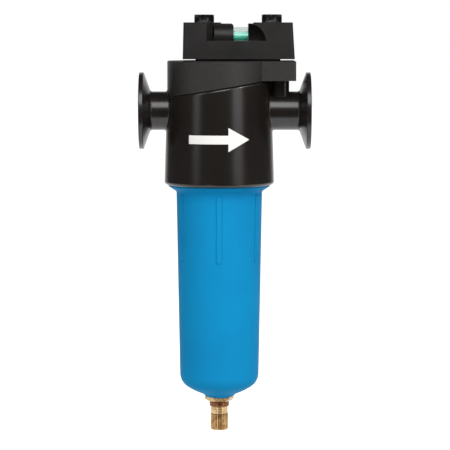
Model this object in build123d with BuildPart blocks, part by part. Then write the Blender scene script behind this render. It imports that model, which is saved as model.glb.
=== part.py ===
"""Inline filter with sanitary clamp ferrules, in millimetres.

The origin is the centre of the inlet ferrule's sealing face. +X runs along the flow to the outlet, +Z is up,
and the front, where the indicator is read, faces -Y. The bowl hangs under the head on its own vertical axis.
"""

import os
from math import atan2, cos, pi, radians, sin, sqrt, tan

from build123d import *

os.makedirs("parts", exist_ok=True)

# Pipe connection: one inch tube and its clamp ferrule
bore_diameter = 22.1
tube_diameter = 25.4
rim_diameter = 50.5
rim_width = 2.85
rim_taper = 20.0
rim_edge = 0.5
ferrule_length = 12.7
neck_fillet = 2.0
groove_circle = 43.6
groove_radius = 1.6
groove_depth = 1.2

# Head casting
inlet_reach = 52.6
outlet_reach = 60.0
head_foot = -48.5
head_foot_radius = 36.25
head_draft = 1.75
head_foot_round = 2.0
shoulder_round = 2.0
stub_fillet = 1.3
collar_radius = 34.2
collar_top = 32.9
collar_low = 9.5
collar_slope = 9.5
collar_edge = 0.6
pad_reach = 50.0
pad_width = 40.0
pad_under = 20.0
pad_corner = 1.5
web_start = 34.5
web_end = 45.9
web_width = 17.3
web_corner = 4.0

# Passages in the head
port_passage = 21.0
thread_diameter = 58.0
thread_top = -34.0
gallery_diameter = 54.0
gallery_top = -21.0
socket_diameter = 34.0
socket_bore = 24.2
socket_depth = 11.0
inlet_wall = 3.0
thread_play = 0.05
tap_clearance = 1.0

# Differential pressure indicator
gasket_thickness = 1.2
gasket_start = -15.5
gasket_end = 39.9
gasket_width = 33.0
gasket_corner = 6.0
housing_height = 23.8
housing_foot_start = -23.7
housing_foot_end = 49.1
housing_top_start = -23.2
housing_top_end = 47.7
housing_draft_width = 0.8
housing_corner = 1.6
notch_start = 9.4
notch_end = 19.0
notch_floor = 45.9
notch_round = 2.0
trough_floor = 42.3
trough_width = 12.0
step_start = 1.2
step_end = 22.5
step_depth = 0.7
sight_rise = 48.9
pocket_start = -8.4
pocket_flare = 4.2
flare_lead = 1.6
pocket_back_start = -3.4
spine_width = 6.0
boss_radius = 7.9
scallop_radius = 11.1
tube_outer = 12.2
tube_bore = 4.36
tube_start = 0.0
tube_end = 29.0
sight_play = 0.05
seal_width = 2.0
seal_relief = 0.2
end_chamber = 2.6
plug_diameter = 13.0
plug_length = 16.0
plug_key = 5.0
plug_key_depth = 3.5
plug_edge = 0.4
spring_seat = 42.5
slider_edge = 0.2
spring_play = 0.2
slider_diameter = 4.2
slider_start = -0.9
band_joint = 9.0
slider_end = 19.3
spring_wire = 0.6
spring_coils = 7
sensing_hole = 2.4
sensing_inlet = -3.2
sensing_outlet = 40.2

# Knurled low-head screws
screw_inlet = (-10.0, 11.6)
screw_outlet = (34.2, -11.6)
screw_shank = 8.0
screw_length = 35.0
screw_head = 13.2
screw_head_height = 5.2
screw_key = 5.0
screw_key_depth = 3.0
screw_edge = 0.5
screw_clearance = 8.6

# Filter element
element_top = -37.0
element_length = 113.0
spigot_diameter = 24.0
spigot_bore = 16.0
spigot_rise = 10.0
oring_drop = 5.0
oring_width = 3.0
oring_depth = 2.0
cap_diameter = 41.2
cap_floor = 2.0
cap_skirt = 4.0
cap_wall = 1.7
cage_wall = 1.0
core_radius = 11.0
core_columns = 6
media_inner = 11.2
media_outer = 17.6
media_fold = 2.0
pleats = 24
support_radius = 18.8
support_columns = 8
foam_wall = 1.5
window_rows = 6
window_height = 9.0
window_share = 0.5

# Bowl
bowl_play = 0.05
bowl_gap = 0.2
bowl_wall = 2.8
bowl_neck_top = -35.5
bowl_neck_edge = 0.8
flare_radius = 33.6
flare_lip = 0.8
flare_foot = -53.0
flare_fillet = 2.0
wall_top_radius = 28.3
wall_low_radius = 26.1
neck_wall = 4.2
sump_depth = 24.7
dome_depth = 15.3
knuckle_radius = 10.0
knuckle_turn = 55.0
crown_radius = 43.0
boss_top_radius = 11.7
boss_low_radius = 9.0
floor_radius = 9.5
rib_count = 6
rib_width = 3.4
rib_height = 0.5
rib_top = -54.5
rib_low = -98.6
bowl_oring_rise = -38.6
bowl_oring_width = 3.2
bowl_oring_depth = 2.0

# Drain
stem_diameter = 11.3
stem_play = 0.05
stem_bore = 4.0
flange_radius = 9.0
flange_thickness = 3.6
seal_groove_wall = 1.6
seal_groove_depth = 1.4
seat_height = 3.0
seat_radius = 2.6
nut_flats = 17.0
nut_height = 2.8
nut_chamfer = 1.0
nut_turn = 10.0
ring_radius = 6.6
ring_height = 3.9
ring_round_share = 0.95
barrel_height = 4.7
knob_diameter = 11.8
knob_height = 11.0
knob_edge = 0.7
knob_play = 0.05
knob_gap = 0.15
spindle_diameter = 6.5
spindle_length = 6.0
spindle_seal_width = 1.6
spindle_seal_depth = 1.0
outlet_bore = 5.0
cage_outer = 33.0
cage_thickness = 1.4
cage_height = 22.0
cage_lip = 1.2
cage_slots = 6
cage_slot_width = 8.0
float_diameter = 28.6
float_height = 13.0
float_wall = 1.2
float_post = 10.0
float_gap = 0.05
pad_thickness = 1.6
float_pad_radius = 4.0
pad_recess = 0.8

# Places worked out from the sizes above
total_length = inlet_reach + outlet_reach
housing_base = collar_top + gasket_thickness
housing_top = housing_base + housing_height
step_level = housing_top - step_depth
tube_radius = tube_outer / 2
element_low = element_top - element_length
wall_low = element_low - sump_depth
boss_low = wall_low - dome_depth
ring_top = boss_low - nut_height
barrel_top = ring_top - ring_height
spindle_top = barrel_top - barrel_height
knob_top = spindle_top - knob_gap
knob_low = spindle_top - knob_height


def level(height):
    """Horizontal plane on the bowl's axis."""
    return Plane(origin=(inlet_reach, 0, height), x_dir=(1, 0, 0), z_dir=(0, 0, 1))


def across(reach, height=0.0):
    """Plane across the flow at a distance from the bowl's axis, facing the outlet."""
    return Plane(origin=(inlet_reach + reach, 0, height), x_dir=(0, 1, 0), z_dir=(1, 0, 0))


def upright(turn, height=0.0):
    """Vertical plane through the bowl's axis, facing the front and then turned about that axis."""
    angle = radians(turn)
    return Plane(
        origin=(inlet_reach, 0, height),
        x_dir=(cos(angle), sin(angle), 0),
        z_dir=(sin(angle), -cos(angle), 0),
    )


front = upright(0)
bowl_axis = Axis((inlet_reach, 0, 0), (0, 0, 1))


# Clamp ferrules: turned, a 20 degree back taper under the rim, a gasket groove in the face
taper_run = (rim_diameter - tube_diameter) / 2 * tan(radians(rim_taper))
for label, face, into in (("inlet_ferrule", 0.0, 1), ("outlet_ferrule", total_length, -1)):
    turning = Plane(origin=(face, 0, 0), x_dir=(into, 0, 0), z_dir=(0, -into, 0))
    with BuildPart() as ferrule:
        with BuildSketch(turning):
            with BuildLine():
                Polyline(
                    (0, bore_diameter / 2),
                    (0, rim_diameter / 2),
                    (rim_width, rim_diameter / 2),
                    (rim_width + taper_run, tube_diameter / 2),
                    (ferrule_length, tube_diameter / 2),
                    (ferrule_length, bore_diameter / 2),
                    close=True,
                )
            make_face()
            with Locations((groove_depth - groove_radius, groove_circle / 2)):
                Circle(groove_radius, mode=Mode.SUBTRACT)
        revolve(axis=Axis.X)
        rim = ferrule.edges().filter_by(GeomType.CIRCLE).group_by(SortBy.RADIUS)[-1]
        fillet(rim, rim_edge)
        junction = (
            ferrule.edges()
            .filter_by(GeomType.CIRCLE)
            .filter_by(lambda e: abs(e.radius - tube_diameter / 2) < 0.01)
            .filter_by(lambda e: abs(abs(e.arc_center.X - face) - rim_width - taper_run) < 0.01)
        )
        fillet(junction, neck_fillet)
    ferrule.part.label = label
    export_step(ferrule.part, f"parts/{label}.step")


# Head: one casting with a drafted round body, rolled shoulder, slanted collar, pad, web and port stubs
blend_top = pad_under + shoulder_round
with BuildSketch(front) as drafted_body:
    with BuildLine():
        Polyline(
            (0, head_foot),
            (head_foot_radius, head_foot),
            (head_foot_radius - (blend_top - head_foot) * tan(radians(head_draft)), blend_top),
            (0, blend_top),
            close=True,
        )
    make_face()

# The stubs are blended into the full body first, so that the blend ends under the collar's edge
with BuildPart() as port_stubs:
    revolve(drafted_body.sketch, axis=bowl_axis)
    with BuildSketch(across(ferrule_length - inlet_reach)):
        Circle(tube_diameter / 2)
    extrude(amount=total_length - 2 * ferrule_length)
    fillet(port_stubs.edges().filter_by(GeomType.BSPLINE), stub_fillet)
    revolve(drafted_body.sketch, axis=bowl_axis, mode=Mode.SUBTRACT)

with BuildPart() as collar:
    with BuildSketch(level(collar_low)):
        Circle(collar_radius)
        with Locations((pad_reach / 2, 0)):
            Rectangle(pad_reach, pad_width)
    extrude(amount=collar_top - collar_low)
    with BuildSketch(front):
        with BuildLine():
            Polyline(
                (-collar_radius, collar_low),
                (-collar_radius + (pad_under - collar_low) / tan(radians(collar_slope)), pad_under),
                (pad_reach, pad_under),
                (pad_reach, collar_top),
                (-collar_radius, collar_top),
                close=True,
            )
        make_face()
    extrude(amount=2 * collar_radius, both=True, mode=Mode.INTERSECT)
    fillet(collar.edges().filter_by(Axis.Z).group_by(Axis.X)[-1], pad_corner)
    chamfer(collar.faces().sort_by(Axis.Z)[-1].edges(), collar_edge)

feed_radius = port_passage / 2
tapped_depth = screw_length - housing_height - gasket_thickness + tap_clearance
gallery_start = feed_radius + inlet_wall
with BuildPart() as head:
    revolve(drafted_body.sketch, axis=bowl_axis)
    slant = Plane(
        origin=(inlet_reach - collar_radius, 0, collar_low),
        x_dir=(cos(radians(collar_slope)), 0, sin(radians(collar_slope))),
        z_dir=(-sin(radians(collar_slope)), 0, cos(radians(collar_slope))),
    )
    split(bisect_by=slant, keep=Keep.BOTTOM)
    fillet(head.faces().sort_by(Axis.Z)[-1].edges(), shoulder_round)
    fillet(head.faces().sort_by(Axis.Z)[0].edges(), head_foot_round)
    add(collar.part)
    add(port_stubs.part)
    with BuildSketch(across(ferrule_length - inlet_reach)):
        Circle(tube_diameter / 2)
    extrude(amount=total_length - 2 * ferrule_length)

    # Web under the pad, and the tongue that ties it to the body
    with BuildSketch(level(0)):
        with Locations(((web_start + web_end) / 2, 0)):
            RectangleRounded(web_end - web_start, web_width, web_corner)
        with Locations((web_start - web_corner / 2, 0)):
            Rectangle(3 * web_corner, web_width - 2 * web_corner)
    extrude(amount=pad_under + collar_edge)

    # Flow passages: inlet elbow down into the element, outlet up from the gallery round the socket
    with BuildSketch(across(ferrule_length - inlet_reach)):
        Circle(feed_radius)
    extrude(amount=inlet_reach - ferrule_length, mode=Mode.SUBTRACT)
    with Locations((inlet_reach, 0, 0)):
        Sphere(feed_radius, mode=Mode.SUBTRACT)
    with BuildSketch(level(0)):
        Circle(feed_radius)
    extrude(amount=thread_top, mode=Mode.SUBTRACT)
    with BuildSketch(across(gallery_start)):
        Circle(feed_radius)
    extrude(amount=outlet_reach - ferrule_length - gallery_start, mode=Mode.SUBTRACT)
    with BuildSketch(level(gallery_top)):
        Circle(gallery_diameter / 2)
        Circle(socket_diameter / 2, mode=Mode.SUBTRACT)
    extrude(amount=thread_top - gallery_top, mode=Mode.SUBTRACT)
    with BuildSketch(level(gallery_top)):
        Circle(gallery_diameter / 2)
        Circle(socket_diameter / 2, mode=Mode.SUBTRACT)
        with Locations((gallery_diameter / 2, 0)):
            Rectangle(gallery_diameter / 2, gallery_diameter, mode=Mode.INTERSECT)
    extrude(amount=-gallery_top, mode=Mode.SUBTRACT)
    with BuildSketch(level(head_foot)):
        Circle(thread_diameter / 2)
    extrude(amount=thread_top - head_foot, mode=Mode.SUBTRACT)
    with BuildSketch(level(thread_top)):
        Circle(socket_bore / 2)
    extrude(amount=socket_depth, mode=Mode.SUBTRACT)

    # Tapped holes for the indicator's screws and the two sensing passages
    with BuildSketch(level(collar_top)):
        with Locations(screw_inlet, screw_outlet):
            Circle(screw_shank / 2 + thread_play)
    extrude(amount=-tapped_depth, mode=Mode.SUBTRACT)
    with BuildSketch(level(0)):
        with Locations((sensing_inlet, 0), (sensing_outlet, 0)):
            Circle(sensing_hole / 2)
    extrude(amount=collar_top, mode=Mode.SUBTRACT)
head.part.label = "head"
export_step(head.part, "parts/head.step")


# Indicator gasket, between the head and the moulded block
gasket_centre = (gasket_start + gasket_end) / 2
with BuildPart() as indicator_gasket:
    with BuildSketch(level(collar_top)):
        with Locations((gasket_centre, 0)):
            RectangleRounded(gasket_end - gasket_start, gasket_width, gasket_corner)
        with Locations(screw_inlet, screw_outlet):
            Circle(screw_clearance / 2, mode=Mode.SUBTRACT)
        with Locations((sensing_inlet, 0), (sensing_outlet, 0)):
            Circle(sensing_hole / 2, mode=Mode.SUBTRACT)
    extrude(amount=gasket_thickness)
indicator_gasket.part.label = "indicator_gasket"
export_step(indicator_gasket.part, "parts/indicator_gasket.step")


# Indicator housing: a moulded block, drafted, with a through notch that shows the sight tube
foot_width = pad_width
top_width = pad_width - 2 * housing_draft_width
sight_bore = tube_radius + sight_play
plug_seat = tube_end + seal_width
plug_mouth = max(housing_foot_end, housing_top_end) + 1
with BuildPart() as indicator_housing:
    with BuildSketch(level(housing_base)):
        with Locations(((housing_foot_start + housing_foot_end) / 2, 0)):
            RectangleRounded(housing_foot_end - housing_foot_start, foot_width, housing_corner)
    with BuildSketch(level(housing_top)):
        with Locations(((housing_top_start + housing_top_end) / 2, 0)):
            RectangleRounded(housing_top_end - housing_top_start, top_width, housing_corner)
    loft()

    # Pockets in front and behind, leaving a spine, and the round boss that carries the tube
    for side, wall_start, flare in ((-1, pocket_start, pocket_flare), (1, pocket_back_start, 0.0)):
        with BuildSketch(level(notch_floor)):
            with BuildLine():
                Polyline(
                    (wall_start - flare * flare_lead, side * foot_width),
                    (wall_start, side * foot_width / 2),
                    (wall_start + flare, side * boss_radius),
                    (wall_start + flare, side * spine_width / 2),
                    (notch_start, side * spine_width / 2),
                    (notch_start, side * foot_width),
                    close=True,
                )
            make_face()
        extrude(amount=housing_height, mode=Mode.SUBTRACT)
    with BuildSketch(across(pocket_back_start, sight_rise)):
        Circle(boss_radius)
    extrude(amount=notch_start - pocket_back_start)

    # Scallops that open the view from the outlet side, and the shallow step in the top
    with Locations(
        (inlet_reach + notch_end, -foot_width / 2, notch_floor),
        (inlet_reach + notch_end, foot_width / 2, notch_floor),
    ):
        Sphere(
            scallop_radius,
            arc_size1=0,
            arc_size2=90,
            align=(Align.CENTER, Align.CENTER, Align.MIN),
            mode=Mode.SUBTRACT,
        )
    with BuildSketch(front):
        with BuildLine():
            Polyline(
                (step_start, step_level),
                (step_end, step_level),
                (step_end, housing_top + 1),
                (step_start, housing_top + 1),
                close=True,
            )
        make_face()
        with BuildLine():
            Polyline(
                (notch_start, notch_floor),
                (notch_end, notch_floor),
                (notch_end, housing_top + 1),
                (notch_start, housing_top + 1),
                close=True,
            )
        make_face()
    extrude(amount=foot_width, both=True, mode=Mode.SUBTRACT)
    with BuildSketch(front):
        with Locations((notch_start, step_level)):
            Rectangle(2 * notch_round, 2 * notch_round)
        with Locations((notch_start - notch_round, step_level - notch_round)):
            Circle(notch_round, mode=Mode.SUBTRACT)
        with Locations((notch_start - notch_round, step_level - 2 * notch_round)):
            Rectangle(4 * notch_round, 2 * notch_round, mode=Mode.SUBTRACT)
        with Locations((notch_start - 2 * notch_round, step_level - notch_round)):
            Rectangle(2 * notch_round, 4 * notch_round, mode=Mode.SUBTRACT)
    extrude(amount=foot_width, both=True, mode=Mode.SUBTRACT)
    with BuildSketch(level(trough_floor)):
        with Locations(((notch_start + notch_end) / 2, 0)):
            Rectangle(notch_end - notch_start, trough_width)
    extrude(amount=housing_height, mode=Mode.SUBTRACT)

    # Bore for the tube, opened out for the plug, screw holes and sensing passages
    with BuildSketch(across(tube_start - seal_width - end_chamber, sight_rise)):
        Circle(sight_bore)
    extrude(amount=plug_mouth - tube_start + seal_width + end_chamber, mode=Mode.SUBTRACT)
    with BuildSketch(across(plug_seat, sight_rise)):
        Circle(plug_diameter / 2)
    extrude(amount=plug_mouth - plug_seat, mode=Mode.SUBTRACT)
    with BuildSketch(level(housing_base)):
        with Locations(screw_inlet, screw_outlet):
            Circle(screw_clearance / 2)
    extrude(amount=housing_height, mode=Mode.SUBTRACT)
    with BuildSketch(level(housing_base)):
        with Locations((sensing_inlet, 0), (sensing_outlet, 0)):
            Circle(sensing_hole / 2)
    extrude(amount=sight_rise - housing_base, mode=Mode.SUBTRACT)
indicator_housing.part.label = "indicator_housing"
export_step(indicator_housing.part, "parts/indicator_housing.step")


# Knurled low-head screws that clamp the block to the head
for label, place in (("indicator_screw_inlet", screw_inlet), ("indicator_screw_outlet", screw_outlet)):
    with BuildPart() as screw:
        with BuildSketch(level(housing_top)):
            with Locations(place):
                Circle(screw_head / 2)
        extrude(amount=screw_head_height)
        chamfer(screw.faces().sort_by(Axis.Z)[-1].edges(), screw_edge)
        with BuildSketch(level(housing_top + screw_head_height)):
            with Locations(place):
                RegularPolygon(screw_key / 2, 6, major_radius=False)
        extrude(amount=-screw_key_depth, mode=Mode.SUBTRACT)
        with BuildSketch(level(housing_top)):
            with Locations(place):
                Circle(screw_shank / 2)
        extrude(amount=-screw_length)
    screw.part.label = label
    export_step(screw.part, f"parts/{label}.step")


# Sight tube, its two end seals and the plug that closes the bore
with BuildPart() as sight_tube:
    with BuildSketch(across(tube_start, sight_rise)):
        Circle(tube_radius)
        Circle(tube_bore / 2, mode=Mode.SUBTRACT)
    extrude(amount=tube_end - tube_start)
sight_tube.part.label = "sight_tube"
export_step(sight_tube.part, "parts/sight_tube.step")

seal_wall = sight_bore - tube_bore / 2 - seal_relief
with BuildPart() as indicator_seals:
    with BuildSketch(front):
        with Locations(
            (tube_start - seal_width / 2, sight_rise + sight_bore - seal_wall / 2),
            (tube_end + seal_width / 2, sight_rise + sight_bore - seal_wall / 2),
        ):
            RectangleRounded(seal_width, seal_wall, seal_width / 3)
    revolve(axis=Axis((inlet_reach, 0, sight_rise), (1, 0, 0)))
indicator_seals.part.label = "indicator_seals"
export_step(indicator_seals.part, "parts/indicator_seals.step")

with BuildPart() as indicator_plug:
    with BuildSketch(across(plug_seat, sight_rise)):
        Circle(plug_diameter / 2)
    extrude(amount=plug_length)
    chamfer(indicator_plug.faces().sort_by(Axis.X)[-1].edges(), plug_edge)
    with BuildSketch(across(plug_seat + plug_length, sight_rise)):
        RegularPolygon(plug_key / 2, 6, major_radius=False)
    extrude(amount=-plug_key_depth, mode=Mode.SUBTRACT)
    with BuildSketch(across(plug_seat, sight_rise)):
        Circle(tube_bore / 2)
    extrude(amount=spring_seat - plug_seat, mode=Mode.SUBTRACT)
    with BuildSketch(level(sight_rise)):
        with Locations((sensing_outlet, 0)):
            Circle(sensing_hole / 2)
    extrude(amount=-plug_diameter, mode=Mode.SUBTRACT)
indicator_plug.part.label = "indicator_plug"
export_step(indicator_plug.part, "parts/indicator_plug.step")


# Slider: green to show a clean element, a red band behind it, and the spring that holds it back
for label, start, end in (
    ("indicator_slider", band_joint, slider_end),
    ("slider_red_band", slider_start, band_joint),
):
    with BuildPart() as slug:
        with BuildSketch(across(start, sight_rise)):
            Circle(slider_diameter / 2)
        extrude(amount=end - start)
        chamfer(slug.edges().filter_by(GeomType.CIRCLE), slider_edge)
    slug.part.label = label
    export_step(slug.part, f"parts/{label}.step")

spring_start = slider_end + spring_wire
spring_length = spring_seat - spring_wire - spring_start
spring_radius = (tube_bore - spring_play - spring_wire) / 2
with BuildPart() as indicator_spring:
    with BuildLine():
        coil = Helix(
            pitch=spring_length / spring_coils,
            height=spring_length,
            radius=spring_radius,
            center=(inlet_reach + spring_start, 0, sight_rise),
            direction=(1, 0, 0),
        )
    with BuildSketch(Plane(origin=coil @ 0, z_dir=coil % 0)):
        Circle(spring_wire / 2)
    sweep(is_frenet=True)
indicator_spring.part.label = "indicator_spring"
export_step(indicator_spring.part, "parts/indicator_spring.step")


# Element: end caps, perforated inner core, pleated medium, perforated support and foam sleeve
cap_radius = cap_diameter / 2
skirt_bore = cap_radius - cap_wall
cage_top = element_top - cap_floor
cage_low = element_low + cap_floor
with BuildPart() as element_top_cap:
    with BuildSketch(front):
        with BuildLine():
            Polyline(
                (spigot_bore / 2, element_top + spigot_rise),
                (spigot_diameter / 2, element_top + spigot_rise),
                (spigot_diameter / 2, element_top),
                (cap_radius, element_top),
                (cap_radius, cage_top - cap_skirt),
                (skirt_bore, cage_top - cap_skirt),
                (skirt_bore, cage_top),
                (spigot_bore / 2, cage_top),
                close=True,
            )
        make_face()
        with Locations((spigot_diameter / 2, element_top + oring_drop)):
            Rectangle(2 * oring_depth, oring_width, mode=Mode.SUBTRACT)
    revolve(axis=bowl_axis)
    chamfer(element_top_cap.faces().sort_by(Axis.Z)[-1].edges().sort_by(SortBy.RADIUS)[-1], cage_wall)
element_top_cap.part.label = "element_top_cap"
export_step(element_top_cap.part, "parts/element_top_cap.step")

oring_inner = spigot_diameter / 2 - oring_depth
with BuildPart() as element_oring:
    with BuildSketch(front):
        with Locations(((oring_inner + socket_bore / 2) / 2, element_top + oring_drop)):
            RectangleRounded(socket_bore / 2 - oring_inner, oring_width, oring_depth / 3)
    revolve(axis=bowl_axis)
element_oring.part.label = "element_oring"
export_step(element_oring.part, "parts/element_oring.step")

with BuildPart() as element_bottom_cap:
    with BuildSketch(front):
        with BuildLine():
            Polyline(
                (0, element_low),
                (cap_radius, element_low),
                (cap_radius, cage_low + cap_skirt),
                (skirt_bore, cage_low + cap_skirt),
                (skirt_bore, cage_low),
                (0, cage_low),
                close=True,
            )
        make_face()
    revolve(axis=bowl_axis)
element_bottom_cap.part.label = "element_bottom_cap"
export_step(element_bottom_cap.part, "parts/element_bottom_cap.step")

cage_length = cage_top - cage_low
window_pitch = cage_length / window_rows
for label, radius, columns in (
    ("element_core", core_radius, core_columns),
    ("element_support", support_radius, support_columns),
):
    window_width = 2 * radius * sin(pi / columns) * window_share
    with BuildPart() as cage:
        with BuildSketch(level(cage_low)):
            Circle(radius)
            Circle(radius - cage_wall, mode=Mode.SUBTRACT)
        extrude(amount=cage_length)
        for turn in range(columns // 2):
            with BuildSketch(upright(turn * 360 / columns, (cage_top + cage_low) / 2)):
                with GridLocations(window_width, window_pitch, 1, window_rows):
                    Rectangle(window_width, window_height)
            extrude(amount=2 * radius, both=True, mode=Mode.SUBTRACT)
    cage.part.label = label
    export_step(cage.part, f"parts/{label}.step")


def star(outer, inner):
    """Corners of the pleat outline, fold by fold."""
    return [
        (radius * cos(pi * fold / pleats), radius * sin(pi * fold / pleats))
        for fold in range(2 * pleats)
        for radius in [outer if fold % 2 else inner]
    ]


with BuildPart() as element_media:
    with BuildSketch(level(cage_low)):
        with BuildLine():
            Polyline(star(media_outer, media_inner + media_fold), close=True)
        make_face()
        with BuildLine():
            Polyline(star(media_outer - media_fold, media_inner), close=True)
        make_face(mode=Mode.SUBTRACT)
    extrude(amount=cage_length)
element_media.part.label = "element_media"
export_step(element_media.part, "parts/element_media.step")

foam_bore = skirt_bore
with BuildPart() as element_foam:
    with BuildSketch(level(cage_low + cap_skirt)):
        Circle(foam_bore + foam_wall)
        Circle(foam_bore, mode=Mode.SUBTRACT)
    extrude(amount=cage_length - 2 * cap_skirt)
element_foam.part.label = "element_foam"
export_step(element_foam.part, "parts/element_foam.step")


# Bowl: die cast with a threaded neck, flare, tapered wall, domed end and drain boss
lean = atan2(wall_top_radius - wall_low_radius, flare_foot - wall_low)


def dome(inset, end_radius):
    """Knuckle start, knuckle end and crown end of the dome, at a depth inside its outer face."""
    turned = lean + radians(knuckle_turn)
    knuckle = (wall_low_radius - knuckle_radius * cos(lean), wall_low + knuckle_radius * sin(lean))
    drop = crown_radius - knuckle_radius
    crown = (knuckle[0] - drop * cos(turned), knuckle[1] + drop * sin(turned))
    small = knuckle_radius - inset
    large = crown_radius - inset
    reach = end_radius - crown[0]
    return (
        (knuckle[0] + small * cos(lean), knuckle[1] - small * sin(lean)),
        (knuckle[0] + small * cos(turned), knuckle[1] - small * sin(turned)),
        (end_radius, crown[1] - sqrt(large**2 - reach**2)),
    )


neck_radius = thread_diameter / 2 - bowl_play
neck_bore = neck_radius - neck_wall
wall_bore = wall_top_radius - bowl_wall
flare_top = head_foot - bowl_gap
stem_hole = stem_diameter / 2 + stem_play
outer_start, outer_knuckle, outer_crown = dome(0, boss_top_radius)
inner_start, inner_knuckle, inner_crown = dome(bowl_wall, floor_radius)
bowl_floor = inner_crown[1]

# Raised spanner ribs under the flare, rounded at their ends and parallel to the tapered wall
with BuildPart() as ribs:
    for rib in range(rib_count):
        with BuildSketch(upright(rib * 360 / rib_count)):
            with Locations((0, (rib_top + rib_low) / 2)):
                SlotOverall(rib_top - rib_low, rib_width, rotation=90)
        extrude(amount=wall_top_radius + bowl_wall)
    with BuildSketch(front):
        with BuildLine():
            Polyline(
                (wall_top_radius + rib_height, flare_foot),
                (outer_start[0] + rib_height, outer_start[1]),
                (outer_start[0] - rib_height, outer_start[1]),
                (wall_top_radius - rib_height, flare_foot),
                close=True,
            )
        make_face()
    revolve(axis=bowl_axis, mode=Mode.INTERSECT)

with BuildPart() as bowl:
    with BuildSketch(front):
        with BuildLine():
            Polyline(
                inner_start,
                (wall_bore, flare_foot),
                (neck_bore, flare_top),
                (neck_bore, bowl_neck_top),
                (neck_radius, bowl_neck_top),
                (neck_radius, flare_top),
                (flare_radius, flare_top),
                (flare_radius, flare_top - flare_lip),
                (wall_top_radius, flare_foot),
                outer_start,
            )
            RadiusArc(outer_start, outer_knuckle, knuckle_radius)
            RadiusArc(outer_knuckle, outer_crown, crown_radius)
            Polyline(
                outer_crown,
                (boss_low_radius, boss_low),
                (stem_hole, boss_low),
                (stem_hole, bowl_floor),
                inner_crown,
            )
            RadiusArc(inner_crown, inner_knuckle, -(crown_radius - bowl_wall))
            RadiusArc(inner_knuckle, inner_start, -(knuckle_radius - bowl_wall))
        make_face()
        with Locations((neck_radius, bowl_oring_rise)):
            Rectangle(2 * bowl_oring_depth, bowl_oring_width, mode=Mode.SUBTRACT)
    revolve(axis=bowl_axis)
    foot = bowl.edges().filter_by(GeomType.CIRCLE).filter_by(
        lambda e: abs(e.radius - wall_top_radius) < 0.01
    )
    fillet(foot, flare_fillet)
    chamfer(
        bowl.faces().sort_by(Axis.Z)[-1].edges().sort_by(SortBy.RADIUS)[-1], bowl_neck_edge
    )

    add(ribs.part)
bowl.part.label = "bowl"
export_step(bowl.part, "parts/bowl.step")

bowl_oring_inner = neck_radius - bowl_oring_depth + bowl_play
with BuildPart() as bowl_oring:
    with BuildSketch(front):
        with Locations(((bowl_oring_inner + neck_radius) / 2, bowl_oring_rise)):
            RectangleRounded(
                neck_radius - bowl_oring_inner,
                bowl_oring_width - 2 * bowl_play,
                bowl_oring_depth / 3,
            )
    revolve(axis=bowl_axis)
bowl_oring.part.label = "bowl_oring"
export_step(bowl_oring.part, "parts/bowl_oring.step")


# Drain: turned brass body through the bowl's boss, with a flange inside and a nut and ring outside
flange_top = bowl_floor + flange_thickness
stem_radius = stem_diameter / 2
spindle_low = spindle_top - spindle_length
seal_outer = flange_radius - seal_relief
seal_inner = seal_outer - seal_groove_wall
spindle_seal_rise = spindle_top - spindle_length / 2
with BuildPart() as drain_body:
    with BuildSketch(front):
        with BuildLine():
            Polyline(
                (stem_bore / 2, spindle_low),
                (spindle_diameter / 2, spindle_low),
                (spindle_diameter / 2, spindle_top),
                (stem_radius, spindle_top),
                (stem_radius, bowl_floor),
                (flange_radius, bowl_floor),
                (flange_radius, flange_top),
                (seat_radius, flange_top),
                (seat_radius, flange_top + seat_height),
                (stem_bore / 2, flange_top + seat_height),
                close=True,
            )
        make_face()
        with Locations(((seal_inner + seal_outer) / 2, bowl_floor)):
            Rectangle(seal_groove_wall, 2 * seal_groove_depth, mode=Mode.SUBTRACT)
        with Locations((spindle_diameter / 2, spindle_seal_rise)):
            Rectangle(2 * spindle_seal_depth, spindle_seal_width, mode=Mode.SUBTRACT)
    revolve(axis=bowl_axis)
drain_body.part.label = "drain_body"
export_step(drain_body.part, "parts/drain_body.step")

spindle_seal_inner = spindle_diameter / 2 - spindle_seal_depth
for label, inner, outer, low, high in (
    ("drain_seal", seal_inner, seal_outer, bowl_floor, bowl_floor + seal_groove_depth),
    (
        "drain_knob_seal",
        spindle_seal_inner,
        spindle_diameter / 2,
        spindle_seal_rise - spindle_seal_width / 2,
        spindle_seal_rise + spindle_seal_width / 2,
    ),
):
    with BuildPart() as seal:
        with BuildSketch(front):
            with Locations(((inner + outer) / 2, (low + high) / 2)):
                RectangleRounded(outer - inner, high - low, (outer - inner) / 4)
        revolve(axis=bowl_axis)
    seal.part.label = label
    export_step(seal.part, f"parts/{label}.step")

with BuildPart() as drain_locknut:
    with BuildSketch(level(ring_top)):
        RegularPolygon(nut_flats / 2, 6, major_radius=False, rotation=nut_turn)
    extrude(amount=nut_height)
    with BuildSketch(front):
        with BuildLine():
            Polyline(
                (0, ring_top),
                (nut_flats / 2 - nut_chamfer / 2, ring_top),
                (nut_flats / 2 + nut_height / tan(radians(30)), ring_top + nut_height + nut_chamfer),
                (0, ring_top + nut_height + nut_chamfer),
                close=True,
            )
        make_face()
    revolve(axis=bowl_axis, mode=Mode.INTERSECT)
    with BuildSketch(level(ring_top)):
        Circle(stem_hole)
    extrude(amount=nut_height, mode=Mode.SUBTRACT)
drain_locknut.part.label = "drain_locknut"
export_step(drain_locknut.part, "parts/drain_locknut.step")

with BuildPart() as drain_ring:
    with BuildSketch(front):
        with Locations(((stem_hole + ring_radius) / 2, (ring_top + barrel_top) / 2)):
            Rectangle(ring_radius - stem_hole, ring_height)
    revolve(axis=bowl_axis)
    outer_edges = drain_ring.edges().filter_by(GeomType.CIRCLE).group_by(SortBy.RADIUS)[-1]
    fillet(outer_edges, (ring_radius - stem_hole) * ring_round_share)
drain_ring.part.label = "drain_ring"
export_step(drain_ring.part, "parts/drain_ring.step")

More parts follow.
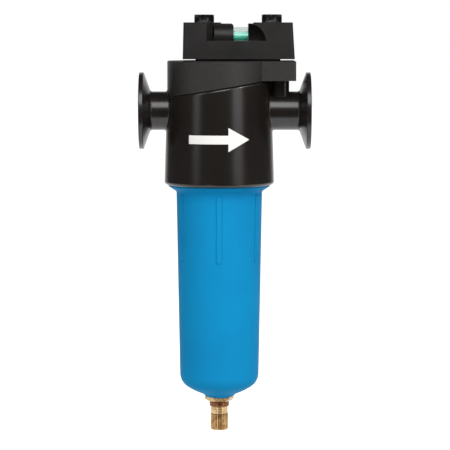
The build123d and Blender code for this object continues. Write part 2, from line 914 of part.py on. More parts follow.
with BuildPart() as drain_knob:
    with BuildSketch(level(knob_low)):
        Circle(knob_diameter / 2)
    extrude(amount=knob_top - knob_low)
    chamfer(drain_knob.faces().sort_by(Axis.Z)[0].edges(), knob_edge)
    with BuildSketch(level(knob_top)):
        Circle(spindle_diameter / 2 + knob_play)
    extrude(amount=-(knob_top - spindle_low + knob_gap), mode=Mode.SUBTRACT)
    with BuildSketch(level(knob_low)):
        Circle(outlet_bore / 2)
    extrude(amount=knob_top - knob_low, mode=Mode.SUBTRACT)
drain_knob.part.label = "drain_knob"
export_step(drain_knob.part, "parts/drain_knob.step")


# Float cage on the drain flange, the float with its post, and the pad that closes the seat
cage_bore = cage_outer / 2 - cage_thickness
with BuildPart() as drain_cage:
    with BuildSketch(level(flange_top)):
        Circle(cage_outer / 2)
        Circle(seat_radius, mode=Mode.SUBTRACT)
    extrude(amount=cage_thickness)
    with BuildSketch(level(flange_top)):
        Circle(cage_outer / 2)
        Circle(cage_bore, mode=Mode.SUBTRACT)
    extrude(amount=cage_height)
    with BuildSketch(level(flange_top + cage_height)):
        Circle(cage_outer / 2)
        Circle(cage_bore - cage_lip, mode=Mode.SUBTRACT)
    extrude(amount=-cage_thickness)
    for slot in range(cage_slots // 2):
        slot_middle = flange_top + cage_height / 2
        with BuildSketch(upright(slot * 360 / cage_slots, slot_middle)):
            RectangleRounded(cage_slot_width, cage_height - 4 * cage_thickness, cage_lip)
        extrude(amount=cage_outer, both=True, mode=Mode.SUBTRACT)
drain_cage.part.label = "drain_cage"
export_step(drain_cage.part, "parts/drain_cage.step")

seat_top = flange_top + seat_height
pad_low = seat_top + float_gap
float_low = pad_low + pad_thickness - pad_recess
float_radius = float_diameter / 2
with BuildPart() as drain_float:
    with BuildSketch(front):
        with BuildLine():
            Polyline(
                (0, float_low + pad_recess),
                (float_pad_radius, float_low + pad_recess),
                (float_pad_radius, float_low),
                (float_post / 2, float_low),
                (float_post / 2, float_low + float_height - float_wall),
                (float_radius - float_wall, float_low + float_height - float_wall),
                (float_radius - float_wall, float_low),
                (float_radius, float_low),
                (float_radius, float_low + float_height),
                (0, float_low + float_height),
                close=True,
            )
        make_face()
    revolve(axis=bowl_axis)
drain_float.part.label = "drain_float"
export_step(drain_float.part, "parts/drain_float.step")

with BuildPart() as float_pad:
    with BuildSketch(level(pad_low)):
        Circle(float_pad_radius)
    extrude(amount=pad_thickness)
float_pad.part.label = "float_pad"
export_step(float_pad.part, "parts/float_pad.step")
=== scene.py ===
import math

import bpy
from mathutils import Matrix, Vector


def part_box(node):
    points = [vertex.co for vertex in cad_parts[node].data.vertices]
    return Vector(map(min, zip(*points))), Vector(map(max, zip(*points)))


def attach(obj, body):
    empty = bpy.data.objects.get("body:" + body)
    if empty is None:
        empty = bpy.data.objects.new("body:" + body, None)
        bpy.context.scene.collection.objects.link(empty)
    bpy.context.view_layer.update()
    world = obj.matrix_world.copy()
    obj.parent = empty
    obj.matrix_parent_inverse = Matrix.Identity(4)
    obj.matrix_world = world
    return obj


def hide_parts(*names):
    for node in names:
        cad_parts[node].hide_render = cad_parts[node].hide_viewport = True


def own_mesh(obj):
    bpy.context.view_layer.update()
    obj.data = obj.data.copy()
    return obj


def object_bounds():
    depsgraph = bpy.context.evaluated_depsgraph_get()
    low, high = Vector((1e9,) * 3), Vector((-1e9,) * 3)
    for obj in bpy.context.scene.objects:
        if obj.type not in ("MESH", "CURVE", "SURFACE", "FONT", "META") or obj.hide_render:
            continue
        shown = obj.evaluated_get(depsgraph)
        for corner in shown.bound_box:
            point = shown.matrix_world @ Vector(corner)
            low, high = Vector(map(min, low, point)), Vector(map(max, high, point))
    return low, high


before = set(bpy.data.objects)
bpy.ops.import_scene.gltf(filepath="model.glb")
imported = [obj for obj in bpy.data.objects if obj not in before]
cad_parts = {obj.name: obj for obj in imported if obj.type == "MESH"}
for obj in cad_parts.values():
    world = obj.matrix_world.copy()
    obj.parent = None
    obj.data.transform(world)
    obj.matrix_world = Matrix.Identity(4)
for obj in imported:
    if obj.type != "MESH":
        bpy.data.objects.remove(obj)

cad_low, cad_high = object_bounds()


# Head: an aluminium casting, faced and bored for the bowl and the ports, then enamelled black.
# The slanted collar and the pad keep the sandy skin of the mould, in a lighter grey base colour
# than the body. The body below them is smoothed first, so light runs down it in soft upright bands.
def linear_colour(hex_code):
    """The linear value of an sRGB hex colour."""
    shares = [int(hex_code[place:place + 2], 16) / 255 for place in (1, 3, 5)]
    return [s / 12.92 if s <= 0.04045 else ((s + 0.055) / 1.055) ** 2.4 for s in shares] + [1.0]


def add_node(finish, kind, settings, links):
    """A node of a finish with its settings, fed by the sockets that links names."""
    node = finish.node_tree.nodes.new("ShaderNode" + kind)
    for name, value in settings.items():
        if name in node.inputs:
            node.inputs[name].default_value = value
        else:
            setattr(node, name, value)
    for name, socket in links.items():
        finish.node_tree.links.new(socket, node.inputs[name])
    return node


def start_finish(name):
    """An empty finish with its name."""
    finish = bpy.data.materials.new(name)
    finish.use_nodes = True
    finish.node_tree.nodes.clear()
    return finish


def dress(node_names, finish):
    """Gives each of the CAD nodes one finish all over."""
    for name in node_names:
        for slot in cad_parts[name].material_slots:
            slot.material = finish


PEEL_WIDTH = 0.0011
CASTING_GRAIN = 0.0012
COLLAR_SLOPE = 9.5
COLLAR_FOOT = (0.0184, 0.0, 0.0095)
PAD_UNDER = 0.0199
enamel = start_finish("satin_black_enamel")
place = add_node(enamel, "TexCoord", {}, {})
turn = add_node(enamel, "Mapping", {}, {"Vector": place.outputs["Object"]})
mottle = add_node(enamel, "TexNoise", {"Scale": 45.0, "Detail": 3.0}, {"Vector": turn.outputs["Vector"]})
tone = add_node(enamel, "ValToRGB", {}, {"Fac": mottle.outputs["Fac"]})
tone.color_ramp.elements[0].position = 0.35
tone.color_ramp.elements[0].color = linear_colour("#171311")
tone.color_ramp.elements[1].position = 0.65
tone.color_ramp.elements[1].color = linear_colour("#1b1714")

tilt = add_node(enamel, "Mapping", {"vector_type": "TEXTURE"}, {"Vector": place.outputs["Object"]})
tilt.inputs["Location"].default_value = COLLAR_FOOT
tilt.inputs["Rotation"].default_value = (0, -math.radians(COLLAR_SLOPE), 0)
above = add_node(enamel, "SeparateXYZ", {}, {"Vector": tilt.outputs["Vector"]})
straight = add_node(enamel, "SeparateXYZ", {}, {"Vector": place.outputs["Object"]})
over_slant = add_node(enamel, "Math", {"operation": "GREATER_THAN"}, {})
over_slant.inputs[1].default_value = 0.0
enamel.node_tree.links.new(above.outputs["Z"], over_slant.inputs[0])
over_pad = add_node(enamel, "Math", {"operation": "GREATER_THAN"}, {})
over_pad.inputs[1].default_value = PAD_UNDER
enamel.node_tree.links.new(straight.outputs["Z"], over_pad.inputs[0])
past_stub = add_node(enamel, "Math", {"operation": "GREATER_THAN"}, {})
past_stub.inputs[1].default_value = COLLAR_FOOT[0] - 0.0001
enamel.node_tree.links.new(straight.outputs["X"], past_stub.inputs[0])
either = add_node(enamel, "Math", {"operation": "MAXIMUM"}, {})
enamel.node_tree.links.new(over_slant.outputs["Value"], either.inputs[0])
enamel.node_tree.links.new(over_pad.outputs["Value"], either.inputs[1])
as_cast = add_node(enamel, "Math", {"operation": "MULTIPLY"}, {})
enamel.node_tree.links.new(either.outputs["Value"], as_cast.inputs[0])
enamel.node_tree.links.new(past_stub.outputs["Value"], as_cast.inputs[1])

gloss = add_node(enamel, "MapRange", {"To Min": 0.24, "To Max": 0.44}, {"Value": as_cast.outputs["Value"]})
soft_edge = add_node(enamel, "Bevel", {"Radius": 0.00015, "samples": 4}, {})
peel = add_node(enamel, "TexNoise", {"Scale": 1 / PEEL_WIDTH, "Detail": 2.0}, {
    "Vector": turn.outputs["Vector"],
})
smooth = add_node(enamel, "Bump", {"Strength": 0.1, "Distance": 0.0001}, {
    "Height": peel.outputs["Fac"],
    "Normal": soft_edge.outputs["Normal"],
})
sand = add_node(enamel, "TexNoise", {"Scale": 1 / CASTING_GRAIN, "Detail": 4.0, "Roughness": 0.7}, {
    "Vector": turn.outputs["Vector"],
})
grain = add_node(enamel, "Bump", {"Distance": 0.0002}, {
    "Strength": as_cast.outputs["Value"],
    "Height": sand.outputs["Fac"],
    "Normal": smooth.outputs["Normal"],
})
# The collar and the pad get a lighter grey base colour than the smooth body below them.
collar_grey_tone = add_node(enamel, "Mix", {"data_type": "RGBA"}, {"Factor": as_cast.outputs["Value"]})
collar_grey_tone.inputs["B"].default_value = linear_colour("#252220")
enamel.node_tree.links.new(tone.outputs["Color"], collar_grey_tone.inputs[6])
paint = add_node(enamel, "BsdfPrincipled", {"Specular IOR Level": 0.5}, {
    "Base Color": collar_grey_tone.outputs[2],
    "Roughness": gloss.outputs["Result"],
    "Normal": grain.outputs["Normal"],
})
add_node(enamel, "OutputMaterial", {}, {"Surface": paint.outputs["BSDF"]})
dress(["head"], enamel)


# Flow arrow: one white arrow in screen-print ink on the front of the head, the way the filter
# is to be fitted. The ink follows the round wall as a thin flat layer.
def deselect_all():
    """Leaves nothing selected, so that an operator acts on the next piece alone."""
    if bpy.context.object and bpy.context.object.mode != "OBJECT":
        bpy.ops.object.mode_set(mode="OBJECT")
    bpy.ops.object.select_all(action="DESELECT")


def settle(piece, name, finish):
    """Names a finished piece, brings its origin to the frame's and gives it its finish."""
    deselect_all()
    bpy.context.view_layer.objects.active = piece
    piece.select_set(True)
    bpy.ops.object.transform_apply(location=True, rotation=True, scale=True)
    piece.name = name
    piece.data.materials.clear()
    piece.data.materials.append(finish)


def pick(piece, wanted, kind="VERT"):
    """Selects the parts of a mesh that wanted() says yes to and opens it for editing."""
    if piece.mode != "OBJECT":
        bpy.ops.object.mode_set(mode="OBJECT")
    mesh = piece.data
    for group in (mesh.vertices, mesh.edges, mesh.polygons):
        group.foreach_set("select", [False] * len(group))
    parts = {"VERT": mesh.vertices, "EDGE": mesh.edges, "FACE": mesh.polygons}[kind]
    for part in parts:
        part.select = bool(wanted(part))
    bpy.ops.object.mode_set(mode="EDIT")
    bpy.ops.mesh.select_mode(type=kind)


ARROW_LENGTH = 0.039
ARROW_HEAD = 0.0135
ARROW_SPREAD = 0.0155
SHAFT_WIDTH = 0.0056
ARROW_HEIGHT = -0.0175
INK_DEPTH = 0.00006
ARROW_CUTS = 20
SAME_PLACE = 0.00001
bowl_low, bowl_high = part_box("bowl")
axis_x = (bowl_low[0] + bowl_high[0]) / 2
head_low, head_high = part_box("head")

ink = start_finish("white_screen_ink")
place = add_node(ink, "TexCoord", {}, {})
turn = add_node(ink, "Mapping", {}, {"Vector": place.outputs["Object"]})
mesh_marks = add_node(ink, "TexNoise", {"Scale": 2500.0, "Detail": 1.0}, {"Vector": turn.outputs["Vector"]})
tone = add_node(ink, "ValToRGB", {}, {"Fac": mesh_marks.outputs["Fac"]})
tone.color_ramp.elements[0].color = linear_colour("#dedcd8")
tone.color_ramp.elements[1].color = linear_colour("#f2f1ee")
coat = add_node(ink, "BsdfPrincipled", {"Roughness": 0.45}, {"Base Color": tone.outputs["Color"]})
add_node(ink, "OutputMaterial", {}, {"Surface": coat.outputs["BSDF"]})

deselect_all()
shaft = ARROW_LENGTH - ARROW_HEAD
bpy.ops.mesh.primitive_plane_add(
    size=1.0,
    location=(axis_x - ARROW_LENGTH / 2 + shaft / 2, head_low[1] - 0.002, ARROW_HEIGHT),
    rotation=(math.pi / 2, 0, 0),
)
arrow = bpy.context.object
arrow.scale = (shaft, SHAFT_WIDTH, 1)
bpy.ops.object.transform_apply(location=True, rotation=True, scale=True)
neck_x = axis_x - ARROW_LENGTH / 2 + shaft
pick(arrow, lambda e: all(arrow.data.vertices[v].co.x > neck_x - SAME_PLACE for v in e.vertices), "EDGE")
bpy.ops.mesh.extrude_region_move()
bpy.ops.transform.resize(value=(1, 1, ARROW_SPREAD / SHAFT_WIDTH))
bpy.ops.mesh.extrude_region_move(TRANSFORM_OT_translate={"value": (ARROW_HEAD, 0, 0)})
bpy.ops.mesh.merge(type="CENTER")
bpy.ops.mesh.select_all(action="SELECT")
bpy.ops.mesh.quads_convert_to_tris()
bpy.ops.mesh.subdivide(number_cuts=ARROW_CUTS)
bpy.ops.object.mode_set(mode="OBJECT")
wrap = arrow.modifiers.new("wrap", "SHRINKWRAP")
wrap.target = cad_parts["head"]
wrap.wrap_method = "PROJECT"
wrap.use_project_y = True
wrap.use_positive_direction = True
wrap.use_negative_direction = False
wrap.offset = INK_DEPTH
bpy.ops.object.modifier_apply(modifier="wrap")
settle(arrow, "flow_arrow", ink)
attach(arrow, "head")


# Clamp ferrules: turned from stainless bar, welded to the head's stubs and sprayed with it.
# Faint turning marks show under the enamel. They are drawn wider apart than the real ones,
# which would be too fine to see.
TURNING_SCALE = 125.0
turned_enamel = start_finish("satin_black_enamel_on_turned_steel")
place = add_node(turned_enamel, "TexCoord", {}, {})
turn = add_node(turned_enamel, "Mapping", {}, {"Vector": place.outputs["Object"]})
rings = add_node(
    turned_enamel,
    "TexWave",
    {"Scale": TURNING_SCALE, "Distortion": 0.4, "wave_type": "RINGS", "rings_direction": "X"},
    {"Vector": turn.outputs["Vector"]},
)
soft_edge = add_node(turned_enamel, "Bevel", {"Radius": 0.00015, "samples": 4}, {})
relief = add_node(turned_enamel, "Bump", {"Strength": 0.05, "Distance": 0.0001}, {
    "Height": rings.outputs["Fac"],
    "Normal": soft_edge.outputs["Normal"],
})
mottle = add_node(turned_enamel, "TexNoise", {"Scale": 60.0}, {"Vector": turn.outputs["Vector"]})
tone = add_node(turned_enamel, "ValToRGB", {}, {"Fac": mottle.outputs["Fac"]})
tone.color_ramp.elements[0].position = 0.35
tone.color_ramp.elements[0].color = linear_colour("#191514")
tone.color_ramp.elements[1].position = 0.65
tone.color_ramp.elements[1].color = linear_colour("#1e1a18")
paint = add_node(turned_enamel, "BsdfPrincipled", {"Roughness": 0.25, "Specular IOR Level": 0.5}, {
    "Base Color": tone.outputs["Color"],
    "Normal": relief.outputs["Normal"],
})
add_node(turned_enamel, "OutputMaterial", {}, {"Surface": paint.outputs["BSDF"]})
dress(["inlet_ferrule", "outlet_ferrule"], turned_enamel)


# Indicator gasket, seals, O-rings and float pad: moulded nitrile rubber, matt and slightly grey.
# Each is held in a groove or squeezed flat between two faces.
rubber = start_finish("moulded_nitrile_rubber")
place = add_node(rubber, "TexCoord", {}, {})
turn = add_node(rubber, "Mapping", {}, {"Vector": place.outputs["Object"]})
bloom = add_node(rubber, "TexNoise", {"Scale": 900.0, "Detail": 2.0}, {"Vector": turn.outputs["Vector"]})
tone = add_node(rubber, "ValToRGB", {}, {"Fac": bloom.outputs["Fac"]})
tone.color_ramp.elements[0].color = linear_colour("#171717")
tone.color_ramp.elements[1].color = linear_colour("#242424")
relief = add_node(rubber, "Bump", {"Strength": 0.15, "Distance": 0.0001}, {"Height": bloom.outputs["Fac"]})
skin = add_node(rubber, "BsdfPrincipled", {"Roughness": 0.75, "Specular IOR Level": 0.35}, {
    "Base Color": tone.outputs["Color"],
    "Normal": relief.outputs["Normal"],
})
add_node(rubber, "OutputMaterial", {}, {"Surface": skin.outputs["BSDF"]})
dress(
    [
        "indicator_gasket",
        "indicator_seals",
        "element_oring",
        "bowl_oring",
        "drain_seal",
        "drain_knob_seal",
        "float_pad",
    ],
    rubber,
)


# Indicator housing: a block moulded in glass-filled black nylon and bolted down on its gasket.
# The spark-eroded mould leaves a fine even grain, so it is duller than the smooth enamel.
GRAIN = 0.0005
nylon = start_finish("black_glass_filled_nylon")
place = add_node(nylon, "TexCoord", {}, {})
turn = add_node(nylon, "Mapping", {}, {"Vector": place.outputs["Object"]})
grain = add_node(nylon, "TexNoise", {"Scale": 1 / GRAIN, "Detail": 3.0, "Roughness": 0.7}, {
    "Vector": turn.outputs["Vector"],
})
streaks = add_node(nylon, "TexNoise", {"Scale": 70.0, "Detail": 2.0}, {"Vector": turn.outputs["Vector"]})
tone = add_node(nylon, "ValToRGB", {}, {"Fac": streaks.outputs["Fac"]})
tone.color_ramp.elements[0].position = 0.3
tone.color_ramp.elements[0].color = linear_colour("#151312")
tone.color_ramp.elements[1].position = 0.7
tone.color_ramp.elements[1].color = linear_colour("#1d1b1a")
soft_edge = add_node(nylon, "Bevel", {"Radius": 0.0004, "samples": 4}, {})
relief = add_node(nylon, "Bump", {"Strength": 0.6, "Distance": 0.0002}, {
    "Height": grain.outputs["Fac"],
    "Normal": soft_edge.outputs["Normal"],
})
skin = add_node(nylon, "BsdfPrincipled", {"Roughness": 0.4, "Specular IOR Level": 0.32}, {
    "Base Color": tone.outputs["Color"],
    "Normal": relief.outputs["Normal"],
})
add_node(nylon, "OutputMaterial", {}, {"Surface": skin.outputs["BSDF"]})
dress(["indicator_housing"], nylon)


# Sight tube: extruded and polished acrylic, sealed at both ends in the housing's bore.
# Its thick clear wall shows the slider a little enlarged. Towards its upper and lower edge, and
# for the lamps, it is plainly clear, so that the slider inside is lit.
acrylic = start_finish("polished_acrylic_tube")
place = add_node(acrylic, "TexCoord", {}, {})
turn = add_node(acrylic, "Mapping", {}, {"Vector": place.outputs["Object"]})
draw_lines = add_node(acrylic, "TexNoise", {"Scale": 1.0, "Detail": 2.0}, {
    "Vector": turn.outputs["Vector"],
})
turn.inputs["Scale"].default_value = (20.0, 1500.0, 1500.0)
relief = add_node(acrylic, "Bump", {"Strength": 0.05, "Distance": 0.0001}, {
    "Height": draw_lines.outputs["Fac"],
})
clear = add_node(
    acrylic,
    "BsdfPrincipled",
    {"Base Color": linear_colour("#f4f8f7"), "Roughness": 0.04, "IOR": 1.49, "Transmission Weight": 1.0},
    {"Normal": relief.outputs["Normal"]},
)
ray = add_node(acrylic, "LightPath", {}, {})
clear_air = add_node(acrylic, "BsdfTransparent", {"Color": linear_colour("#eef4f3")}, {})
rim = add_node(acrylic, "LayerWeight", {"Blend": 0.5}, {})
thin = add_node(
    acrylic,
    "MapRange",
    {"From Min": 0.1, "From Max": 0.2, "To Max": 0.9},
    {"Value": rim.outputs["Facing"]},
)
open_share = add_node(acrylic, "Math", {"operation": "MAXIMUM"}, {})
acrylic.node_tree.links.new(ray.outputs["Is Shadow Ray"], open_share.inputs[0])
acrylic.node_tree.links.new(thin.outputs["Result"], open_share.inputs[1])
lamp_lit = add_node(acrylic, "MixShader", {}, {"Fac": open_share.outputs["Value"]})
acrylic.node_tree.links.new(clear.outputs["BSDF"], lamp_lit.inputs[1])
acrylic.node_tree.links.new(clear_air.outputs["BSDF"], lamp_lit.inputs[2])
add_node(acrylic, "OutputMaterial", {}, {"Surface": lamp_lit.outputs["Shader"]})
dress(["sight_tube"], acrylic)


# Slider and its red band: two colours of moulded acetal, green when the element is clean.
# Acetal is waxy: light goes deep into it and spreads, and the gloss is soft.
GLOW_DEPTH = 0.01
for node_name, finish_name, dark_side, light_side in (
    ("indicator_slider", "green_acetal", "#4ac2a5", "#5dd4b9"),
    ("slider_red_band", "red_acetal", "#b3201c", "#c42d26"),
):
    acetal = start_finish(finish_name)
    place = add_node(acetal, "TexCoord", {}, {})
    turn = add_node(acetal, "Mapping", {}, {"Vector": place.outputs["Object"]})
    haze = add_node(acetal, "TexNoise", {"Scale": 300.0}, {"Vector": turn.outputs["Vector"]})
    tone = add_node(acetal, "ValToRGB", {}, {"Fac": haze.outputs["Fac"]})
    tone.color_ramp.elements[0].color = linear_colour(dark_side)
    tone.color_ramp.elements[1].color = linear_colour(light_side)
    body = add_node(acetal, "BsdfPrincipled", {"Roughness": 0.3, "Subsurface Weight": 1.0}, {
        "Base Color": tone.outputs["Color"],
    })
    body.inputs["Subsurface Radius"].default_value = (1.0, 1.0, 1.0)
    body.inputs["Subsurface Scale"].default_value = GLOW_DEPTH
    add_node(acetal, "OutputMaterial", {}, {"Surface": body.outputs["BSDF"]})
    dress([node_name], acetal)


# Spring: hard-drawn steel wire, coiled behind the slider, which squeezes it against the end plug.
# Drawing leaves fine bright lines along the wire and a slightly grey film.
SPRING_WIRE = 0.0006
SPRING_COILS = 7
WIRE_SIDES = 8
STEPS_PER_COIL = 24
spring_wire = start_finish("drawn_spring_steel")
place = add_node(spring_wire, "TexCoord", {}, {})
turn = add_node(spring_wire, "Mapping", {}, {"Vector": place.outputs["Object"]})
film = add_node(spring_wire, "TexNoise", {"Scale": 1500.0, "Detail": 2.0}, {
    "Vector": turn.outputs["Vector"],
})
gloss = add_node(spring_wire, "MapRange", {"To Min": 0.22, "To Max": 0.4}, {"Value": film.outputs["Fac"]})
wire = add_node(spring_wire, "BsdfPrincipled", {"Base Color": linear_colour("#a9a8a5"), "Metallic": 1.0}, {
    "Roughness": gloss.outputs["Result"],
})
add_node(spring_wire, "OutputMaterial", {}, {"Surface": wire.outputs["BSDF"]})

low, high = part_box("indicator_spring")
length = high[0] - low[0]
deselect_all()
bpy.ops.mesh.primitive_circle_add(
    vertices=WIRE_SIDES,
    radius=SPRING_WIRE / 2,
    location=(0, (high[1] - low[1] - SPRING_WIRE) / 2, 0),
)
coil = bpy.context.object
bpy.ops.object.transform_apply(location=True, rotation=True, scale=True)
wind = coil.modifiers.new("wind", "SCREW")
wind.axis = "X"
wind.iterations = SPRING_COILS
wind.screw_offset = (length - SPRING_WIRE) / SPRING_COILS
wind.steps = STEPS_PER_COIL
wind.render_steps = STEPS_PER_COIL
bpy.ops.object.modifier_apply(modifier="wind")
bpy.ops.object.mode_set(mode="EDIT")
bpy.ops.mesh.select_all(action="SELECT")
bpy.ops.mesh.fill_holes(sides=0)
bpy.ops.mesh.normals_make_consistent(inside=False)
bpy.ops.object.mode_set(mode="OBJECT")
bpy.ops.object.shade_smooth()
coil.location = (low[0] + SPRING_WIRE / 2, (low[1] + high[1]) / 2, (low[2] + high[2]) / 2)
settle(coil, "coiled_spring", spring_wire)
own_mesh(coil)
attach(coil, "head")
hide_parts("indicator_spring")


# Screws: alloy steel cap screws, rolled with a diamond knurl, hardened and oiled black.
# The knurl is drawn coarser than the real one, which would be too fine to see.
SCREW_HEAD = 0.0052
SHANK_RADIUS = 0.004
KEY_WIDTH = 0.005
KEY_DEPTH = 0.003
KNURL_POINTS = 36
KNURL_ROWS = 4
KNURL_DEPTH = 0.09
PLAIN_EDGE = 0.00045
ROW_SLACK = 0.1
SHARP_ANGLE = math.radians(25)

black_oxide = start_finish("black_oxide_steel")
place = add_node(black_oxide, "TexCoord", {}, {})
turn = add_node(black_oxide, "Mapping", {}, {"Vector": place.outputs["Object"]})
oil = add_node(black_oxide, "TexNoise", {"Scale": 500.0, "Detail": 3.0}, {"Vector": turn.outputs["Vector"]})
tone = add_node(black_oxide, "ValToRGB", {}, {"Fac": oil.outputs["Fac"]})
tone.color_ramp.elements[0].color = linear_colour("#0b0b0b")
tone.color_ramp.elements[1].color = linear_colour("#171716")
gloss = add_node(black_oxide, "MapRange", {"To Min": 0.2, "To Max": 0.35}, {"Value": oil.outputs["Fac"]})
oxide = add_node(black_oxide, "BsdfPrincipled", {"Metallic": 0.3, "Specular IOR Level": 0.6}, {
    "Base Color": tone.outputs["Color"],
    "Roughness": gloss.outputs["Result"],
})
add_node(black_oxide, "OutputMaterial", {}, {"Surface": oxide.outputs["BSDF"]})


def shrink(share, centre):
    """Draws the selection in towards an upright line."""
    bpy.ops.transform.resize(value=(share, share, 1), center_override=centre)


def lift(height):
    """Extrudes the selected face straight up or down."""
    bpy.ops.mesh.extrude_region_move(TRANSFORM_OT_translate={"value": (0, 0, height)})


def widen(share, centre):
    """Makes a ring of faces round the selected one, at a share of its radius."""
    bpy.ops.mesh.extrude_region_move()
    shrink(share, centre)


for node_name in ("indicator_screw_inlet", "indicator_screw_outlet"):
    low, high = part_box(node_name)
    centre = ((low[0] + high[0]) / 2, (low[1] + high[1]) / 2, high[2])
    radius = (high[0] - low[0]) / 2
    seat = high[2] - SCREW_HEAD
    deselect_all()
    bpy.ops.mesh.primitive_circle_add(
        vertices=KNURL_POINTS,
        radius=SHANK_RADIUS,
        fill_type="NGON",
        location=(centre[0], centre[1], low[2]),
    )
    screw = bpy.context.object
    bpy.ops.object.transform_apply(location=True, rotation=True, scale=True)
    pick(screw, lambda f: True, "FACE")
    lift(seat - low[2])
    widen((radius - PLAIN_EDGE / 2) / SHANK_RADIUS, centre)
    lift(PLAIN_EDGE / 2)
    shrink(radius / (radius - PLAIN_EDGE / 2), centre)
    row_height = (SCREW_HEAD - 1.5 * PLAIN_EDGE) / KNURL_ROWS
    for row in range(KNURL_ROWS):
        lift(row_height)
    lift(PLAIN_EDGE)
    shrink((radius - PLAIN_EDGE) / radius, centre)
    bpy.ops.object.mode_set(mode="OBJECT")

    def in_valley(vertex):
        """True for every second point of the knurl, row by row."""
        rise = (vertex.co.z - seat - PLAIN_EDGE / 2) / row_height
        row = round(rise)
        angle = math.atan2(vertex.co.y - centre[1], vertex.co.x - centre[0])
        column = round(angle / (2 * math.pi) * KNURL_POINTS)
        return 0 < row < KNURL_ROWS and abs(rise - row) < ROW_SLACK and (row + column) % 2

    pick(screw, in_valley)
    shrink(1 - KNURL_DEPTH, centre)
    bpy.ops.object.mode_set(mode="OBJECT")
    bpy.ops.mesh.primitive_cylinder_add(
        vertices=6,
        radius=KEY_WIDTH / math.sqrt(3),
        depth=2 * KEY_DEPTH,
        location=(centre[0], centre[1], high[2]),
    )
    key = bpy.context.object
    recess = screw.modifiers.new("recess", "BOOLEAN")
    recess.object = key
    recess.operation = "DIFFERENCE"
    bpy.context.view_layer.objects.active = screw
    bpy.ops.object.modifier_apply(modifier="recess")
    bpy.data.objects.remove(key)
    bpy.ops.object.select_all(action="DESELECT")
    screw.select_set(True)
    bpy.ops.object.shade_smooth_by_angle(angle=SHARP_ANGLE)
    settle(screw, node_name.replace("indicator", "knurled"), black_oxide)
    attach(screw, "head")
    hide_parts(node_name)


# Filter element: moulded nylon end caps bonded to a pleated glass-fibre pack.
# Inside and outside it stand perforated stainless tubes, and a foam sleeve drains the outside.
grey_nylon = start_finish("grey_moulded_nylon")
place = add_node(grey_nylon, "TexCoord", {}, {})
turn = add_node(grey_nylon, "Mapping", {}, {"Vector": place.outputs["Object"]})
grain = add_node(grey_nylon, "TexNoise", {"Scale": 1500.0, "Detail": 2.0}, {
    "Vector": turn.outputs["Vector"],
})
tone = add_node(grey_nylon, "ValToRGB", {}, {"Fac": grain.outputs["Fac"]})
tone.color_ramp.elements[0].color = linear_colour("#55575a")
tone.color_ramp.elements[1].color = linear_colour("#5f6164")
relief = add_node(grey_nylon, "Bump", {"Strength": 0.1, "Distance": 0.0001}, {
    "Height": grain.outputs["Fac"],
})
skin = add_node(grey_nylon, "BsdfPrincipled", {"Roughness": 0.5}, {
    "Base Color": tone.outputs["Color"],
    "Normal": relief.outputs["Normal"],
})
add_node(grey_nylon, "OutputMaterial", {}, {"Surface": skin.outputs["BSDF"]})
dress(["element_top_cap", "element_bottom_cap", "drain_cage"], grey_nylon)

rolled_steel = start_finish("rolled_stainless_sheet")
place = add_node(rolled_steel, "TexCoord", {}, {})
turn = add_node(rolled_steel, "Mapping", {}, {"Vector": place.outputs["Object"]})
turn.inputs["Scale"].default_value = (900.0, 900.0, 30.0)
roll_marks = add_node(rolled_steel, "TexNoise", {"Scale": 1.0, "Detail": 3.0}, {
    "Vector": turn.outputs["Vector"],
})
gloss = add_node(rolled_steel, "MapRange", {"To Min": 0.28, "To Max": 0.45}, {
    "Value": roll_marks.outputs["Fac"],
})
sheet = add_node(
    rolled_steel,
    "BsdfPrincipled",
    {"Base Color": linear_colour("#c3c1bd"), "Metallic": 1.0},
    {"Roughness": gloss.outputs["Result"]},
)
add_node(rolled_steel, "OutputMaterial", {}, {"Surface": sheet.outputs["BSDF"]})
dress(["element_core", "element_support"], rolled_steel)

CELL_SIZE = 0.0008
for node_name, finish_name, dark_side, light_side, roughness in (
    ("element_media", "pleated_glass_fibre_paper", "#dedbd0", "#f0ede4", 0.9),
    ("element_foam", "open_cell_drain_foam", "#c2bc9f", "#e2ddc4", 1.0),
):
    fibre = start_finish(finish_name)
    place = add_node(fibre, "TexCoord", {}, {})
    turn = add_node(fibre, "Mapping", {}, {"Vector": place.outputs["Object"]})
    cells = add_node(fibre, "TexVoronoi", {"Scale": 1 / CELL_SIZE}, {"Vector": turn.outputs["Vector"]})
    tone = add_node(fibre, "ValToRGB", {}, {"Fac": cells.outputs["Distance"]})
    tone.color_ramp.elements[0].color = linear_colour(dark_side)
    tone.color_ramp.elements[1].color = linear_colour(light_side)
    relief = add_node(fibre, "Bump", {"Strength": 0.5, "Distance": 0.0002}, {
        "Height": cells.outputs["Distance"],
    })
    weave = add_node(fibre, "BsdfPrincipled", {"Roughness": roughness, "Specular IOR Level": 0.2}, {
        "Base Color": tone.outputs["Color"],
        "Normal": relief.outputs["Normal"],
    })
    add_node(fibre, "OutputMaterial", {}, {"Surface": weave.outputs["BSDF"]})
    dress([node_name], fibre)


# Bowl: die-cast aluminium with six raised spanner ribs, screwed up into the head.
# Its satin blue powder coat is thick and even, softens each edge and has a fine orange peel.
POWDER_PEEL = 0.0014
powder = start_finish("satin_blue_powder_coat")
place = add_node(powder, "TexCoord", {}, {})
turn = add_node(powder, "Mapping", {}, {"Vector": place.outputs["Object"]})
cloud = add_node(powder, "TexNoise", {"Scale": 25.0, "Detail": 2.0}, {"Vector": turn.outputs["Vector"]})
tone = add_node(powder, "ValToRGB", {}, {"Fac": cloud.outputs["Fac"]})
tone.color_ramp.elements[0].position = 0.3
tone.color_ramp.elements[0].color = linear_colour("#1283b9")
tone.color_ramp.elements[1].position = 0.7
tone.color_ramp.elements[1].color = linear_colour("#128bc0")
soft_edge = add_node(powder, "Bevel", {"Radius": 0.0006, "samples": 4}, {})
peel = add_node(powder, "TexNoise", {"Scale": 1 / POWDER_PEEL, "Detail": 1.5}, {
    "Vector": turn.outputs["Vector"],
})
